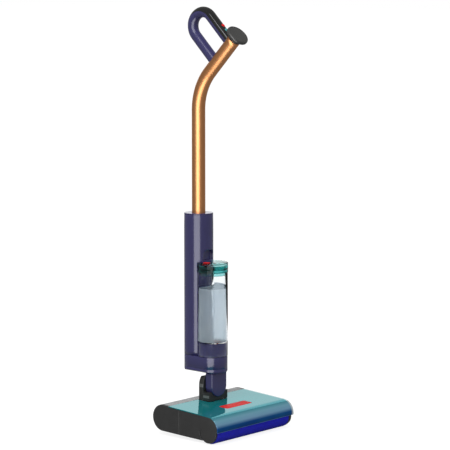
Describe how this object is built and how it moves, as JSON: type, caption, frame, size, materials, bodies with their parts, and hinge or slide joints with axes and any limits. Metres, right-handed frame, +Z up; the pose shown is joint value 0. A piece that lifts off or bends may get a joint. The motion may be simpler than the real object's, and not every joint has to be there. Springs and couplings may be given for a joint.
{
  "type": "wet dry floor scrubber",
  "caption": "Upright wet and dry floor scrubber: wide roller head with teal cover, round body with clear front tank, bent copper wand and loop handle.",
  "frame": {"origin": "on the floor under the middle of the outer box, below the floor head", "axes": "+Z up along the body, -Y towards the machine's front where the clean tank and the front roller are, +X across the head's width, to the right of someone who faces the front"},
  "size_m": [0.3046, 0.2415, 1.117],
  "materials": {
    "clear_teal": "transparent teal, polished",
    "grey_plastic": "fine matt moulded",
    "charcoal_plastic": "fine matt moulded",
    "smoke_plastic": "smoke grey, polished",
    "microfibre": "short dense pile",
    "bristle": "nylon bristle",
    "black_plastic": "satin moulded",
    "gloss_black": "polished",
    "violet_shell": "glossy dark violet blue",
    "clear_plastic": "clear, polished",
    "red_plastic": "satin red",
    "teal_plastic": "satin teal",
    "rubber": "matt",
    "steel": "turned",
    "brass": "plated",
    "green_board": "lacquered",
    "copper": "copper-coloured anodised, satin",
    "screen_glass": "dark lens"
  },
  "bodies": {
    "head": {"head_chassis": "grey_plastic", "top_cover": "clear_teal", "rear_hood": "grey_plastic", "front_panel_left": "charcoal_plastic", "front_panel_right": "charcoal_plastic", "rear_panel_right": "charcoal_plastic", "front_roller_motor": "steel", "rear_roller_motor": "steel", "front_roller_bearing": "steel", "rear_roller_bearing": "steel", "front_roller_stub_axle": "steel", "rear_roller_stub_axle": "steel", "front_water_bar": "clear_plastic", "rear_water_bar": "clear_plastic", "wiper_strip": "rubber", "hinge_bracket": "steel", "recline_pin": "steel", "wheel_axle_left": "steel", "wheel_axle_right": "steel"},
    "head_button": {"head_release_button": "red_plastic"},
    "front_roller": {"front_roller_sleeve": "microfibre", "front_roller_core": "black_plastic"},
    "rear_roller": {"rear_roller_sleeve": "microfibre", "rear_roller_core": "black_plastic"},
    "front_brush": {"front_brush_roll": "bristle"},
    "rear_brush": {"rear_brush_roll": "bristle"},
    "wheel_left": {"rear_wheel_left": "rubber"},
    "wheel_right": {"rear_wheel_right": "rubber"},
    "dirty_tank": {"dirty_tank_tub": "smoke_plastic", "rear_panel_left": "charcoal_plastic", "debris_tray": "charcoal_plastic"},
    "yoke": {"yoke": "black_plastic", "swivel_pin": "steel"},
    "upright": {"neck": "violet_shell", "lower_housing": "violet_shell", "charging_contact_left": "brass", "charging_contact_right": "brass", "water_pump": "black_plastic", "feed_hose": "rubber", "body_shell": "violet_shell", "body_cap": "violet_shell", "finger_recess": "black_plastic", "battery_pack": "charcoal_plastic", "control_board": "green_board", "tank_plinth": "violet_shell", "wand": "copper", "wand_collar": "black_plastic", "screen_housing": "charcoal_plastic", "screen_lens": "screen_glass", "handle_loop": "violet_shell", "handle_top_cover": "gloss_black"},
    "clean_tank": {"clean_tank": "clear_plastic", "valve_spring": "steel"},
    "tank_valve": {"tank_valve": "red_plastic"},
    "tank_cap": {"tank_cap": "clear_teal"},
    "tank_button": {"tank_release_button": "red_plastic"},
    "power_button": {"power_button": "red_plastic"},
    "mode_button": {"mode_button": "teal_plastic"}
  },
  "joints": [
    {"name": "head_button_press", "type": "slide", "parent": "head", "child": "head_button", "axis": [0, 0.0532, -0.9986], "range_m": [0, 0.0015], "stiffness_N_per_m": 900},
    {"name": "front_roller_spin", "type": "hinge", "parent": "head", "child": "front_roller", "pos_m": [0, -0.08675, 0.03], "axis": [1, 0, 0], "continuous": true},
    {"name": "rear_roller_spin", "type": "hinge", "parent": "head", "child": "rear_roller", "pos_m": [0, -0.02761, 0.0365], "axis": [1, 0, 0], "continuous": true},
    {"name": "front_brush_spin", "type": "hinge", "parent": "head", "child": "front_brush", "pos_m": [0, -0.06338, 0.05686], "axis": [1, 0, 0], "continuous": true},
    {"name": "rear_brush_spin", "type": "hinge", "parent": "head", "child": "rear_brush", "pos_m": [0, -0.05098, 0.05923], "axis": [1, 0, 0], "continuous": true},
    {"name": "wheel_left_spin", "type": "hinge", "parent": "head", "child": "wheel_left", "pos_m": [-0.08565, 0.079, 0.007], "axis": [1, 0, 0], "continuous": true},
    {"name": "wheel_right_spin", "type": "hinge", "parent": "head", "child": "wheel_right", "pos_m": [0.08565, 0.079, 0.007], "axis": [1, 0, 0], "continuous": true},
    {"name": "dirty_tank_slide", "type": "slide", "parent": "head", "child": "dirty_tank", "axis": [-1, 0, 0], "range_m": [0, 0.24]},
    {"name": "recline", "type": "hinge", "parent": "head", "child": "yoke", "pos_m": [0, 0.04225, 0.08697], "axis": [-1, 0, 0], "range_deg": [0, 70]},
    {"name": "swivel", "type": "hinge", "parent": "yoke", "child": "upright", "pos_m": [0, 0.03, 0.11797], "axis": [0, 1, 0], "range_deg": [-25, 25]},
    {"name": "clean_tank_lift", "type": "slide", "parent": "upright", "child": "clean_tank", "axis": [0, 0, 1], "range_m": [0, 0.12]},
    {"name": "tank_valve_lift", "type": "slide", "parent": "clean_tank", "child": "tank_valve", "axis": [0, 0, 1], "range_m": [0, 0.003], "stiffness_N_per_m": 120, "deforming": ["valve_spring"]},
    {"name": "tank_cap_lift", "type": "slide", "parent": "clean_tank", "child": "tank_cap", "axis": [0, 0, 1], "range_m": [0, 0.03]},
    {"name": "tank_button_press", "type": "slide", "parent": "tank_cap", "child": "tank_button", "axis": [0, 0, -1], "range_m": [0, 0.0015], "stiffness_N_per_m": 500},
    {"name": "power_button_press", "type": "slide", "parent": "upright", "child": "power_button", "axis": [0, 0.6997, -0.7145], "range_m": [0, 0.001], "stiffness_N_per_m": 600},
    {"name": "mode_button_press", "type": "slide", "parent": "upright", "child": "mode_button", "axis": [0, 0.6997, -0.7145], "range_m": [0, 0.001], "stiffness_N_per_m": 600}
  ],
  "couplings": [
    {"joint": "front_brush_spin", "follows": "front_roller_spin", "ratio": -2},
    {"joint": "rear_brush_spin", "follows": "rear_roller_spin", "ratio": -2}
  ]
}
